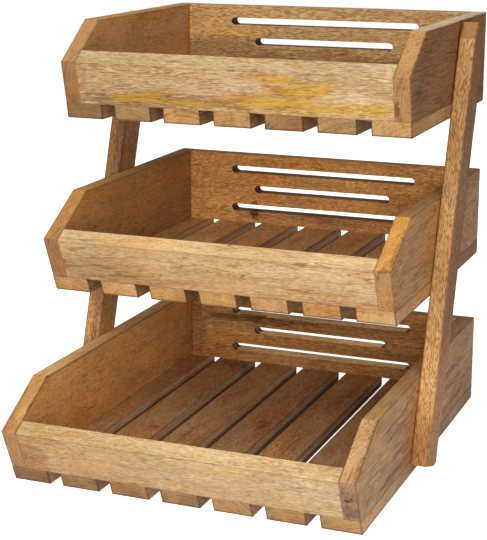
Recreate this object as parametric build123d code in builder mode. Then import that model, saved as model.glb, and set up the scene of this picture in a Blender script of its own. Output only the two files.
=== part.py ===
"""Tiered buffet display stand: three slatted wooden trays held between two leaning uprights."""

import os
from math import atan2, cos, degrees, radians, sin, tan

from build123d import *

os.makedirs("parts", exist_ok=True)

# Trays, in millimetres. Heights are measured from a tray's own underside.
tray_width = 400.0
tray_height = 106.0
front_height = 64.0
bevel_reach = 45.0
board_thickness = 18.0
bottom_depth = 455.0
middle_depth = 351.0
top_depth = 312.0
lower_overhang = 27.0
top_overhang = 14.0
tier_pitch = 190.0

# Slats, laid front to back under the boards of each tray.
slat_count = 7
slat_width = 44.0
slat_thickness = 17.0
slat_heel_radius = 4.0

# Slots routed through each back board, a short one between two long ones.
long_slot_length = 244.0
short_slot_length = 180.0
slot_height = 8.6
slot_pitch = 25.0

# Uprights, flat bars that lean back. The setback runs from the trays' backs to the foot's front corner.
upright_width = 44.0
upright_thickness = 19.0
upright_lean = 18.8
upright_setback = 286.0
upright_top_drop = 2.5
head_bevel_across = 10.0
head_bevel_along = 20.0
foot_radius = 8.0
foot_clearance = 1.0
upright_corner_radius = 4.0

# Loose tenons in the tray corners and dowels behind the uprights, glued into holes of their own section.
# A bite is the length that goes into one piece, and the end gap is left free for glue.
tenon_thickness = 6.0
tenon_shoulder = 12.0
dowel_diameter = 8.0
dowel_inset = 22.0
side_bite = 11.0
board_bite = 20.0
upright_bite = 11.0
end_gap = 1.0

# Eased edges
board_ease = 0.8
slat_ease = 0.3
upright_ease = 1.5
upright_inner_round = 3.0

# Planes that the pieces share
back_y = (bottom_depth + lower_overhang) / 2
side_x = tray_width / 2
inner_x = side_x - board_thickness
stand_height = 2 * tier_pitch + tray_height
slat_spacing = (tray_width - slat_width) / (slat_count - 1)

# The foot's front corner stands so high that the rounded heel behind it just clears the table.
lean = radians(upright_lean)
foot_y = back_y - upright_setback
heel_drop = (upright_width - foot_radius) * sin(lean) - foot_radius * cos(lean) + foot_radius
foot_z = foot_clearance + heel_drop
upright_rise = stand_height - upright_top_drop - foot_z
upright_length = (upright_rise + head_bevel_across * sin(lean)) / cos(lean)

# The trays from the table up: name, underside, depth along the underside, overhang of the front's top edge.
trays = [
    ("bottom", 0.0, bottom_depth, lower_overhang),
    ("middle", tier_pitch, middle_depth, lower_overhang),
    ("top", 2 * tier_pitch, top_depth, top_overhang),
]


def front_y(depth, overhang, height):
    """Depth position of a tray's leaning front plane at a height above its underside."""
    return back_y - depth - overhang * height / front_height


def side_outline(base, depth, overhang):
    """Corners of a tray's side, in depth and height, from its front foot round to its back foot."""
    return [
        (front_y(depth, overhang, slat_thickness), base + slat_thickness),
        (front_y(depth, overhang, front_height), base + front_height),
        (back_y - depth + bevel_reach, base + tray_height),
        (back_y, base + tray_height),
        (back_y, base + slat_thickness),
    ]


def front_strip(base, depth, overhang):
    """Corners of a strip one board thick along the leaning front plane, as high as the sides."""
    run = board_thickness / cos(atan2(overhang, front_height))
    low = front_y(depth, overhang, slat_thickness)
    high = front_y(depth, overhang, tray_height)
    return [
        (low, base + slat_thickness),
        (high, base + tray_height),
        (high + run, base + tray_height),
        (low + run, base + slat_thickness),
    ]


def upright_dowel_seats(base, sign):
    """Places of the two dowels between an upright and one tray's side, on the upright's centre line."""
    x = sign * (side_x + (upright_bite - side_bite) / 2)
    heights = (base + slat_thickness + dowel_inset, base + tray_height - dowel_inset)
    middle_y = foot_y + upright_width / 2 / cos(lean)
    return [Location((x, middle_y + (z - foot_z) * tan(lean), z), (0, 90, 0)) for z in heights]


def tenon_bars(base, depth, overhang, gap):
    """Loose tenons of a tray's four corners, each made longer by a gap at both ends."""
    tilt = atan2(overhang, front_height)
    front_middle = (slat_thickness + front_height) / 2
    front_tall = (front_height - slat_thickness) / cos(tilt) - 2 * tenon_shoulder
    back_tall = tray_height - slat_thickness - 2 * tenon_shoulder
    half_run = board_thickness / 2 / cos(tilt)
    with BuildPart() as bars:
        for start in (inner_x - board_bite, -inner_x - side_bite):
            with BuildSketch(Plane.YZ.offset(start - gap)):
                with Locations((front_y(depth, overhang, front_middle) + half_run, base + front_middle)):
                    Rectangle(tenon_thickness, front_tall, rotation=degrees(tilt))
                with Locations((back_y - board_thickness / 2, base + (slat_thickness + tray_height) / 2)):
                    Rectangle(tenon_thickness, back_tall)
            extrude(amount=board_bite + side_bite + 2 * gap)
    return bars


def make_side(base, depth, overhang, sign, mortises):
    """Side panel: left for sign -1, right for sign +1."""
    with BuildPart() as side:
        with BuildSketch(Plane.YZ.offset(min(sign * inner_x, sign * side_x))):
            with BuildLine():
                Polyline(*side_outline(base, depth, overhang), close=True)
            make_face()
        extrude(amount=board_thickness)
        inner_face, outer_face = side.faces().filter_by(Axis.X).sort_by(Axis.X, reverse=sign < 0)
        shown_outside = outer_face.edges().sort_by(Axis.Z)[1:]
        shown_inside = inner_face.edges().sort_by(Axis.Z)[-2:]
        chamfer(shown_outside + shown_inside, board_ease)
        add(mortises.part, mode=Mode.SUBTRACT)
        with Locations(*upright_dowel_seats(base, sign)):
            Cylinder(dowel_diameter / 2, side_bite + upright_bite + 2 * end_gap, mode=Mode.SUBTRACT)
    return side


def make_front_board(base, depth, overhang, mortises):
    """Leaning front board, cut along its top by the slant of the sides' shoulders."""
    with BuildPart() as board:
        with BuildSketch(Plane.YZ.offset(-inner_x)):
            with BuildLine():
                Polyline(*side_outline(base, depth, overhang), close=True)
            make_face()
            with BuildLine():
                Polyline(*front_strip(base, depth, overhang), close=True)
            make_face(mode=Mode.INTERSECT)
        extrude(amount=2 * inner_x)
        add(mortises.part, mode=Mode.SUBTRACT)
    return board


def make_back_board(base, mortises):
    """Upright back board with its three routed slots."""
    middle = base + (slat_thickness + tray_height) / 2
    with BuildPart() as board:
        with BuildSketch(Plane.XZ.offset(-back_y)):
            with Locations((0, middle)):
                Rectangle(2 * inner_x, tray_height - slat_thickness)
                SlotOverall(short_slot_length, slot_height, mode=Mode.SUBTRACT)
            with Locations((0, middle - slot_pitch), (0, middle + slot_pitch)):
                SlotOverall(long_slot_length, slot_height, mode=Mode.SUBTRACT)
        extrude(amount=board_thickness)
        top_edges = board.faces().sort_by(Axis.Z)[-1].edges().filter_by(Axis.X)
        chamfer(top_edges, board_ease)
        add(mortises.part, mode=Mode.SUBTRACT)
    return board


def make_slat(base, depth, overhang, x):
    """Slat centred on x: raked front end, rounded heel at the back."""
    with BuildPart() as slat:
        with BuildSketch(Plane.YZ.offset(x - slat_width / 2)) as profile:
            with BuildLine():
                Polyline(
                    (front_y(depth, overhang, 0), base),
                    (front_y(depth, overhang, slat_thickness), base + slat_thickness),
                    (back_y, base + slat_thickness),
                    (back_y, base),
                    close=True,
                )
            make_face()
            heel = profile.vertices().group_by(Axis.X)[-1].sort_by(Axis.Y)[0]
            fillet(heel, slat_heel_radius)
        extrude(amount=slat_width)
        chamfer(slat.faces().filter_by(Axis.X).edges(), slat_ease)
    return slat


def make_upright(sign, seats):
    """Leaning bar: rounded heel, bevelled head, outer edges eased and inner edges rounded over."""
    bar_plane = Plane(
        origin=(min(sign * side_x, sign * (side_x + upright_thickness)), foot_y, foot_z),
        x_dir=(0, cos(lean), -sin(lean)),
        z_dir=(1, 0, 0),
    )
    with BuildPart() as upright:
        with BuildSketch(bar_plane) as bar:
            with BuildLine():
                Polyline(
                    (0, 0),
                    (0, upright_length - head_bevel_along),
                    (head_bevel_across, upright_length),
                    (upright_width, upright_length),
                    (upright_width, 0),
                    close=True,
                )
            make_face()
            toe, heel = bar.vertices().group_by(Axis.Y)[0].sort_by(Axis.X)
            crown = bar.vertices().group_by(Axis.Y)[-1].sort_by(Axis.X)[-1]
            fillet(heel, foot_radius)
            fillet([toe, crown], upright_corner_radius)
        extrude(amount=upright_thickness)
        inner_face, outer_face = upright.faces().filter_by(Axis.X).sort_by(Axis.X, reverse=sign < 0)
        fillet(inner_face.edges(), upright_inner_round)
        chamfer(outer_face.edges(), upright_ease)
        with Locations(*seats):
            Cylinder(dowel_diameter / 2, side_bite + upright_bite + 2 * end_gap, mode=Mode.SUBTRACT)
    return upright


def make_dowels(seats):
    """The dowels of one upright."""
    with BuildPart() as dowels:
        with Locations(*seats):
            Cylinder(dowel_diameter / 2, side_bite + upright_bite)
    return dowels


def write(piece, name):
    """Names a piece and writes it."""
    piece.part.label = name
    export_step(piece.part, f"parts/{name}.step")


for tray, base, depth, overhang in trays:
    mortises = tenon_bars(base, depth, overhang, end_gap)
    write(make_side(base, depth, overhang, -1, mortises), f"{tray}_left_side")
    write(make_side(base, depth, overhang, 1, mortises), f"{tray}_right_side")
    write(make_front_board(base, depth, overhang, mortises), f"{tray}_front_board")
    write(make_back_board(base, mortises), f"{tray}_back_board")
    write(tenon_bars(base, depth, overhang, 0), f"{tray}_corner_tenons")
    for number in range(slat_count):
        slat_x = -side_x + slat_width / 2 + number * slat_spacing
        write(make_slat(base, depth, overhang, slat_x), f"{tray}_slat_{number + 1}")

for hand, sign in (("left", -1), ("right", 1)):
    seats = [seat for tray, base, depth, overhang in trays for seat in upright_dowel_seats(base, sign)]
    write(make_upright(sign, seats), f"{hand}_upright")
    write(make_dowels(seats), f"{hand}_upright_dowels")
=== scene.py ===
import math
import random

import bmesh
import bpy
from mathutils import Euler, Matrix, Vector


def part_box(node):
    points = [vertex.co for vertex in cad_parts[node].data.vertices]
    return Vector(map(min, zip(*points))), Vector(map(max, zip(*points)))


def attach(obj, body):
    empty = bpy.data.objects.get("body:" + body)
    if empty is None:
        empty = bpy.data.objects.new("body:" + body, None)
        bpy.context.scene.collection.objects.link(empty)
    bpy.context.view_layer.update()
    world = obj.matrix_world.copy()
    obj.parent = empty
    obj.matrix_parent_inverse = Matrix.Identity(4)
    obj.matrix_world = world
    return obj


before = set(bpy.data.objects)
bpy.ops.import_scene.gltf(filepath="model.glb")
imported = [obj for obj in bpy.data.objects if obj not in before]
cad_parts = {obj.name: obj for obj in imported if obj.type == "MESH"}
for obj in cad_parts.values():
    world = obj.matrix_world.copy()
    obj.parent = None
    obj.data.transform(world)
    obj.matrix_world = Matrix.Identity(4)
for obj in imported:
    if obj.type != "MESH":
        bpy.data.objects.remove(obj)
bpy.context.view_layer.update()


# Slats: seven planed strips of oiled hardwood under each tray, laid from front to back with gaps for crumbs
# and air between them. They are screwed to the boards from below. The bottom tray stands on its slats.

def screen(red, green, blue):
    """A colour as a screen shows it, 0 to 255, turned into the light that a shader mixes."""
    shares = [value / 255 for value in (red, green, blue)]
    return [((s + 0.055) / 1.055) ** 2.4 if s > 0.04045 else s / 12.92 for s in shares] + [1.0]


def tinted(colour, red, green, blue):
    """A colour with its red, green and blue made stronger or weaker."""
    return [min(part * factor, 1.0) for part, factor in zip(colour, (red, green, blue))] + [1.0]


def put(tree, kind, sockets, **settings):
    """Adds a shader node, with each of its sockets given a value or linked to another node's output."""
    made = tree.nodes.new("ShaderNode" + kind)
    for name, value in settings.items():
        setattr(made, name, value)
    for name, value in sockets.items():
        if isinstance(value, bpy.types.NodeSocket):
            tree.links.new(value, made.inputs[name])
        else:
            made.inputs[name].default_value = value
    return made


def calc(tree, operation, *values):
    """The result of a sum on numbers that change over the surface."""
    return put(tree, "Math", dict(enumerate(values)), operation=operation).outputs[0]


def shift(tree, operation, *values):
    """The result of a sum on places."""
    return put(tree, "VectorMath", dict(enumerate(values)), operation=operation).outputs["Vector"]


def reach_of(tree, place):
    """The distance of a place from the origin."""
    return put(tree, "VectorMath", {0: place}, operation="LENGTH").outputs["Value"]


def noise(tree, place, stretch, detail):
    """Cloudy noise, finer where the stretch is larger: it counts the clouds in a metre along each axis."""
    spread = shift(tree, "MULTIPLY", place, stretch)
    sockets = {"Vector": spread, "Scale": 1.0, "Detail": detail, "Roughness": 0.6}
    return put(tree, "TexNoise", sockets)


def ramp(tree, value, low, high):
    """Goes softly from 0 to 1 while the value goes from low to high, which may be the smaller one."""
    sockets = {0: value, 1: low, 2: high, 3: 0.0, 4: 1.0}
    return put(tree, "MapRange", sockets, interpolation_type="SMOOTHSTEP").outputs[0]


def mix(tree, share, first, second, way="MIX"):
    """One colour laid over another."""
    return put(tree, "Mix", {0: share, 6: first, 7: second}, data_type="RGBA", blend_type=way).outputs[2]


def new_group(name, inputs, outputs):
    """An empty node group, with its inputs' kinds and first values and its outputs' kinds."""
    group = bpy.data.node_groups.new(name, "ShaderNodeTree")
    for socket, (kind, value) in inputs.items():
        made = group.interface.new_socket(socket, in_out="INPUT", socket_type="NodeSocket" + kind)
        made.default_value = value
    for socket, kind in outputs.items():
        group.interface.new_socket(socket, in_out="OUTPUT", socket_type="NodeSocket" + kind)
    return group, group.nodes.new("NodeGroupInput").outputs, group.nodes.new("NodeGroupOutput").inputs


def contour(tree, value, level, width):
    """Thin line where a value passes a level: 1 on the line and 0 beside it."""
    core = width / 6
    off = calc(tree, "ABSOLUTE", calc(tree, "SUBTRACT", value, level))
    return ramp(tree, off, width, core)


def make_timber_figure():
    """Figure of a board whose fibres run along X, with the tree's pith on the X axis, in metres.
    The quiet mask marks faces where fibres hardly show: sawn ends, which show the rings, and planed edges."""
    slow_waves = (5.0, 14.0, 14.0)
    quick_waves = (26.0, 60.0, 60.0)
    quick_share = 0.35
    ring_pace = 0.45
    ring_drift = 2.2
    ring_swell = (0.25, 0.9)
    ring_stop = (1.0, 0.93)
    ring_floor = 0.2
    hair_floor = 0.4
    lines = (9.0, 60.0, 60.0)
    line_width = 0.018
    curls = (340.0, 50.0, 50.0)
    curl_width = 0.09
    curl_slant = 0.35
    mottles = (40.0, 130.0, 130.0)
    clouds = (9.0, 32.0, 32.0)
    middle = 0.5
    fibre_loss = -0.3
    ring_gain = 1.5
    pore_depth = 0.5
    usual_values = {
        "Quiet": 0.0, "Length": 1.0, "Sway": 0.006, "Ring Width": 0.003, "Rings": 0.15,
        "Lines": 0.3, "Hairs": 0.25, "Glints": 0.3, "Threads": 0.35, "Pores": 0.25,
        "Flecks": 0.0, "Curls": 0.0, "Mottles": 0.15, "Clouds": 0.7,
    }
    inputs = {name: ("Float", value) for name, value in usual_values.items()}
    inputs["Vector"] = ("Vector", (0.0, 0.0, 0.0))
    outputs = {name: "Float" for name in ("Tone", "Warmth", "Paleness", "Height")}
    group, given, shown = new_group("timber_figure", inputs, outputs)

    def marks(place, along, across, detail, start, full):
        """Marks counted by the metre along and across the fibres, from the noise that starts them to full."""
        return ramp(group, noise(group, place, (along, across, across), detail).outputs[0], start, full)

    place = given["Vector"]
    even = (middle, middle, middle)
    slow = shift(group, "SUBTRACT", noise(group, place, slow_waves, 2.0).outputs["Color"], even)
    quick = shift(group, "SUBTRACT", noise(group, place, quick_waves, 1.0).outputs["Color"], even)
    sway = shift(group, "ADD", slow, shift(group, "MULTIPLY", quick, (quick_share,) * 3))
    sway = put(group, "VectorMath", {0: sway, "Scale": given["Sway"]}, operation="SCALE").outputs[0]
    bent = shift(group, "ADD", place, sway)
    shorter = calc(group, "DIVIDE", 1.0, given["Length"])
    squeeze = put(group, "CombineXYZ", {0: shorter, 1: 1.0, 2: 1.0}).outputs[0]
    drawn_out = shift(group, "MULTIPLY", bent, squeeze)
    axes = put(group, "SeparateXYZ", {0: bent}).outputs
    from_pith = reach_of(group, put(group, "CombineXYZ", {1: axes["Y"], 2: axes["Z"]}).outputs[0])
    rings = calc(group, "DIVIDE", from_pith, given["Ring Width"])
    sockets = {"W": rings, "Scale": ring_pace, "Detail": 1.0}
    uneven = put(group, "TexNoise", sockets, noise_dimensions="1D").outputs[0]
    rings = calc(group, "MULTIPLY_ADD", uneven, ring_drift, rings)
    year = calc(group, "FRACT", rings)
    late_wood = calc(group, "MULTIPLY", ramp(group, year, *ring_swell), ramp(group, year, *ring_stop))
    fade = marks(place, along=12.0, across=60.0, detail=2.0, start=0.36, full=0.62)
    ring_fade = calc(group, "MULTIPLY_ADD", fade, 1.0 - ring_floor, ring_floor)
    ring = calc(group, "MULTIPLY", late_wood, ring_fade)
    thread = marks(drawn_out, along=110.0, across=920.0, detail=0.0, start=0.43, full=0.57)
    line = contour(group, noise(group, place, lines, 2.0).outputs[0], middle, line_width)
    line = calc(group, "MULTIPLY", line, fade)
    hair = marks(drawn_out, along=46.0, across=640.0, detail=1.0, start=0.56, full=0.62)
    hair_fade = calc(group, "MULTIPLY_ADD", fade, 1.0 - hair_floor, hair_floor)
    hair = calc(group, "MULTIPLY", hair, hair_fade)
    glint = marks(drawn_out, along=60.0, across=620.0, detail=1.0, start=0.54, full=0.60)
    pore = marks(drawn_out, along=90.0, across=900.0, detail=1.0, start=0.58, full=0.7)
    fleck = marks(drawn_out, along=150.0, across=1000.0, detail=0.0, start=0.52, full=0.62)
    across = calc(group, "MULTIPLY_ADD", axes["Z"], curl_slant, axes["X"])
    slanted = put(group, "CombineXYZ", {0: across, 1: axes["Y"], 2: axes["Z"]}).outputs[0]
    curl = contour(group, noise(group, slanted, curls, 1.0).outputs[0], middle, curl_width)
    mottle = noise(group, bent, mottles, 2.0).outputs[0]
    cloud = noise(group, place, clouds, 3.0).outputs[0]
    warmth = marks(place, along=7.0, across=23.0, detail=3.0, start=0.42, full=0.62)
    paleness = marks(bent, along=22.0, across=110.0, detail=3.0, start=0.45, full=0.65)
    fibres = calc(group, "MULTIPLY_ADD", given["Quiet"], fibre_loss, 1.0)
    cut_rings = calc(group, "MULTIPLY_ADD", given["Quiet"], ring_gain, 1.0)
    tone = middle
    for part, usual, share, sign, strength in (
        (ring, 0.2, "Rings", 1.0, cut_rings),
        (line, 0.03, "Lines", 1.0, fibres),
        (hair, 0.2, "Hairs", 1.0, fibres),
        (glint, 0.3, "Glints", -1.0, fibres),
        (thread, 0.5, "Threads", 1.0, fibres),
        (pore, 0.12, "Pores", 1.0, fibres),
        (fleck, 0.32, "Flecks", 1.0, fibres),
        (curl, 0.3, "Curls", -1.0, fibres),
        (mottle, 0.5, "Mottles", 1.0, 1.0),
        (cloud, 0.5, "Clouds", 1.0, 1.0),
    ):
        swing = calc(group, "MULTIPLY", calc(group, "SUBTRACT", part, usual), given[share])
        swing = calc(group, "MULTIPLY", swing, strength)
        tone = calc(group, "MULTIPLY_ADD", swing, sign, tone)
    sunk = calc(group, "MULTIPLY", calc(group, "ADD", pore, fleck), pore_depth)
    group.links.new(tone, shown["Tone"])
    group.links.new(warmth, shown["Warmth"])
    group.links.new(paleness, shown["Paleness"])
    group.links.new(calc(group, "SUBTRACT", thread, sunk), shown["Height"])
    return group


timber_figure = make_timber_figure()
grain_along_x = (0.0, 0.0, 0.0)
grain_along_y = (0.0, 0.0, -90.0)


def beyond(material, point, way, start, end):
    """Mask that goes from 0 to 1 while the distance past a point, along a way, goes from start to end."""
    tree = material.node_tree
    away = shift(tree, "SUBTRACT", tree.nodes["on the stand"].outputs["Object"], point)
    past = put(tree, "VectorMath", {0: away, 1: way}, operation="DOT_PRODUCT").outputs["Value"]
    return ramp(tree, past, start, end)


face_skin = (-0.0012, -0.0004)


def on_face(material, face):
    """Mask of one flat face of a piece, given by a point on it and the way that it faces."""
    return beyond(material, *face, *face_skin)


def cover(material, mask, colour, share=1.0, way="MULTIPLY"):
    """Lays a colour over what a material shows, where a mask is white."""
    tree = material.node_tree
    target = tree.nodes["Principled BSDF"].inputs["Base Color"]
    under = target.links[0].from_socket
    covered = mix(tree, calc(tree, "MULTIPLY", mask, share), under, list(colour) + [1.0], way)
    tree.links.new(covered, target)


light_fibres = (1.31, 1.41, 1.55)
dark_fibres = (0.61, 0.51, 0.40)
pale_zone = (1.03, 1.07, 1.18, 1.0)
fibre_relief = {"Strength": 0.25, "Distance": 0.0004}
oil_roughness = 0.40
dark_roughness = 0.2
oil_ior = 1.45


def timber(node, grain, from_pith, slope, colour, flush=(1.06, 0.96, 0.80), quiet=(), calm=1.0, **figure):
    """Oiled wood for one board: its grain's direction, its middle as seen from the pith, and its colour.
    The flush is what its warmer zones do to that colour. Quiet faces are those where fibres hardly show."""
    material = bpy.data.materials.new(node + "_wood")
    material.use_nodes = True
    tree = material.node_tree
    low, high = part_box(node)
    turn = Euler([math.radians(angle) for angle in grain]).to_matrix()
    turn = Euler([0.0] + [math.radians(angle) for angle in slope]).to_matrix() @ turn
    offset = Vector(from_pith) - turn @ ((low + high) / 2)
    place = put(tree, "TexCoord", {}, name="on the stand").outputs["Object"]
    sockets = {"Vector": place, "Location": offset, "Rotation": turn.to_euler()}
    place = put(tree, "Mapping", sockets, name="in the tree").outputs[0]
    sockets = {name.replace("_", " ").title(): value for name, value in figure.items()}
    grown = put(tree, "Group", {"Vector": place, **sockets}, node_tree=timber_figure)
    tone = grown.outputs["Tone"]
    shown = mix(tree, tone, tinted(colour, *light_fibres), tinted(colour, *dark_fibres))
    shown = mix(tree, grown.outputs["Warmth"], shown, list(flush) + [1.0], "MULTIPLY")
    shown = mix(tree, grown.outputs["Paleness"], shown, pale_zone, "MULTIPLY")
    rough = calc(tree, "MULTIPLY_ADD", tone, dark_roughness, oil_roughness)
    bump = put(tree, "Bump", {"Height": grown.outputs["Height"], **fibre_relief})
    shader = tree.nodes["Principled BSDF"]
    tree.links.new(shown, shader.inputs["Base Color"])
    tree.links.new(rough, shader.inputs["Roughness"])
    tree.links.new(bump.outputs[0], shader.inputs["Normal"])
    shader.inputs["IOR"].default_value = oil_ior
    mask = 0.0
    for face in quiet:
        mask = calc(tree, "MAXIMUM", mask, on_face(material, face))
    if quiet:
        tree.links.new(calc(tree, "MULTIPLY", mask, calm), grown.inputs["Quiet"])
    return material


def both(material, *masks):
    """Where all of some masks are white."""
    shared = masks[0]
    for mask in masks[1:]:
        shared = calc(material.node_tree, "MULTIPLY", shared, mask)
    return shared


def face_tint(material, face, colour, *neighbours):
    """Tints one flat face of a piece. Neighbours are faces that meet it and keep a tint of their own."""
    mask = on_face(material, face)
    for neighbour in neighbours:
        mask = both(material, mask, beyond(material, *neighbour, *reversed(face_skin)))
    cover(material, mask, colour)


def finish(node, material):
    """Gives a CAD piece its material."""
    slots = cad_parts[node].data.materials
    slots.clear()
    slots.append(material)


def make_ragged_patch():
    """Mask of a patch with torn edges: its place and half sizes are given along and across the fibres.
    Streaks let the wood show through it along the fibres."""
    tears = (36.0, 330.0, 330.0)
    tear_depth = 2.0
    rim = (1.05, 0.8)
    long_streaks = (26.0, 430.0, 430.0)
    streak_edge = (0.48, 0.56)
    middle = 0.5
    group, given, shown = new_group(
        "ragged_patch",
        {
            "Vector": ("Vector", (0.0, 0.0, 0.0)),
            "Centre": ("Vector", (0.0, 0.0, 0.0)),
            "Reach": ("Vector", (0.01, 0.01, 0.01)),
            "Ragged": ("Float", 1.2),
            "Streaks": ("Float", 0.5),
            "Slant": ("Float", 0.0),
        },
        {"Mask": "Float"},
    )
    off = shift(group, "SUBTRACT", given["Vector"], given["Centre"])
    axes = put(group, "SeparateXYZ", {0: off}).outputs
    risen = calc(group, "SUBTRACT", axes["Z"], calc(group, "MULTIPLY", axes["X"], given["Slant"]))
    off = put(group, "CombineXYZ", {0: axes["X"], 1: axes["Y"], 2: risen}).outputs[0]
    away = shift(group, "DIVIDE", off, given["Reach"])
    place = shift(group, "ADD", off, given["Centre"])
    tear = calc(group, "SUBTRACT", noise(group, place, tears, 5.0).outputs[0], middle)
    depth = calc(group, "MULTIPLY", given["Ragged"], tear_depth)
    edge = calc(group, "MULTIPLY_ADD", tear, depth, reach_of(group, away))
    patch = ramp(group, edge, *rim)
    streak = ramp(group, noise(group, place, long_streaks, 1.0).outputs[0], *streak_edge)
    kept = calc(group, "MULTIPLY_ADD", calc(group, "MULTIPLY", streak, given["Streaks"]), -1.0, 1.0)
    group.links.new(calc(group, "MULTIPLY", patch, kept), shown["Mask"])
    return group


ragged_patch = make_ragged_patch()


def stain(material, centre, reach, colour, share=1.0, ragged=1.2, streaks=0.5, slant=0.0,
          way="MULTIPLY", within=1.0):
    """Colours a patch of a board round a point of it, to half sizes along its fibres and across them.
    It may be kept within a mask."""
    tree = material.node_tree
    place = tree.nodes["in the tree"]
    turn = Euler(place.inputs["Rotation"].default_value).to_matrix()
    centre = turn @ Vector(centre) + Vector(place.inputs["Location"].default_value)
    sockets = {"Vector": place.outputs[0], "Centre": centre, "Reach": reach}
    sockets.update({"Ragged": ragged, "Streaks": streaks, "Slant": slant})
    patch = put(tree, "Group", sockets, node_tree=ragged_patch).outputs[0]
    cover(material, calc(tree, "MULTIPLY", patch, within), colour, share, way)


shoulder_rise = 0.064
shoulder_reach = 0.045


def front_corners(tray):
    """Corners of a tray's front from the side: the slats' foot, their top edge, the shoulder and its end."""
    slat_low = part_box(f"{tray}_slat_1")[0]
    side_low, side_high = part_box(f"{tray}_left_side")
    low_edge = Vector((0.0, slat_low.y, side_low.z))
    shoulder = Vector((0.0, side_low.y, slat_low.z + shoulder_rise))
    lean = (low_edge.y - shoulder.y) / (shoulder.z - low_edge.z)
    foot = Vector((0.0, low_edge.y + lean * (low_edge.z - slat_low.z), slat_low.z))
    top_edge = Vector((0.0, foot.y + shoulder_reach, side_high.z))
    return foot, low_edge, shoulder, top_edge


def front_faces(tray):
    """A tray's leaning front plane and its shoulders' slant: a point on each and the way that it faces."""
    foot, low_edge, shoulder, top_edge = front_corners(tray)
    faces = []
    for start, stop in ((foot, shoulder), (shoulder, top_edge)):
        run = (stop - start).normalized()
        faces.append((start, Vector((0.0, -run.z, run.y))))
    return faces


to_left = Vector((-1.0, 0.0, 0.0))
to_right = Vector((1.0, 0.0, 0.0))
to_front = Vector((0.0, -1.0, 0.0))
to_back = Vector((0.0, 1.0, 0.0))
up = Vector((0.0, 0.0, 1.0))
down = Vector((0.0, 0.0, -1.0))
back_face = (Vector((0.0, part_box("top_back_board")[1].y, 0.0)), to_back)
upright_lean = math.radians(18.8)
upright_depth = 0.044
upright_setback = 0.286
heel_round = 0.008
heel_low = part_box("right_upright")[0].z
heel_lift = heel_round - heel_round * math.cos(upright_lean)
toe_rise = (upright_depth - heel_round) * math.sin(upright_lean) + heel_lift
toe = Vector((0.0, back_face[0].y - upright_setback, heel_low + toe_rise))
upright_front = (toe, Vector((0.0, -math.cos(upright_lean), math.sin(upright_lean))))
trays = ("bottom", "middle", "top")
slat_count = 7
slat_browns = {"bottom": (166, 122, 75), "middle": (204, 150, 91), "top": (186, 140, 88)}
slat_flush = (1.06, 0.92, 0.80)
slat_depth = (0.92, 1.08)
slat_slope = (-2.0, 2.0)
along_log = (-3.0, 3.0)
beside_pith = (-0.03, 0.03)
above_pith = (0.03, 0.09)
end_shades = {
    "bottom": (0.72, 1.04, 1.01, 1.15, 1.28, 1.26, 1.41),
    "middle": (0.94, 1.22, 1.13, 1.14, 1.18, 1.13, 1.02),
    "top": (0.38, 0.71, 1.05, 1.11, 0.53, 0.82, 0.99),
}
end_warmth = {"bottom": (0.94, 1.00, 1.01), "middle": (0.89, 1.00, 1.07), "top": (0.92, 1.00, 0.98)}
deepening = (0.78, 1.0, 1.2)
front_painted_light = (1.18, 1.13, 1.06)
middle_top_shade = (0.88, 0.91, 0.91)
flank_painted_light = {"bottom": (1.44, 1.86, 2.45), "middle": (0.98, 1.10, 1.14), "top": (1.35, 1.70, 2.05)}
flank_painted_shade = {"bottom": (0.66, 0.65, 0.82), "middle": (0.48, 0.46, 0.44), "top": (0.39, 0.32, 0.25)}
outer_flank = {"bottom": (1.30, 1.60, 2.05), "middle": (0.82, 0.82, 0.80), "top": (0.88, 0.83, 0.72)}
gap_painted_shade = {"bottom": (0.62, 0.53, 0.44), "middle": (0.40, 0.35, 0.31), "top": (0.40, 0.35, 0.31)}
upright_cast_shade = {"bottom": (0.85, 0.75, 0.66), "middle": (0.52, 0.46, 0.42), "top": (0.52, 0.46, 0.42)}
# Dark colour for the arrises: partly edge wear and partly painted shade. Deep in the slats' gaps it is
# painted shade only.
edge_wear_and_shade = (0.34, 0.29, 0.26)
end_edge_share = 0.8
top_edge_share = 0.6
arris = (-0.0018, -0.0008)
top_arris = (-0.0024, -0.0012)
end_arris = (-0.0016, -0.0008)
flank_end_arris = (-0.0022, -0.0010)
low_end_arris = (-0.0024, -0.0010)
low_arris = (-0.0026, -0.0012)
front_stretch = (-0.13, -0.04)
behind_end = (-0.002, -0.004)
past_upright = (-0.042, -0.047)
under_board = (-0.050, -0.025)
gap_depth = (0.0086, 0.0100)
gap_floor = (0.0104, 0.0116)
through = 0.06
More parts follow.
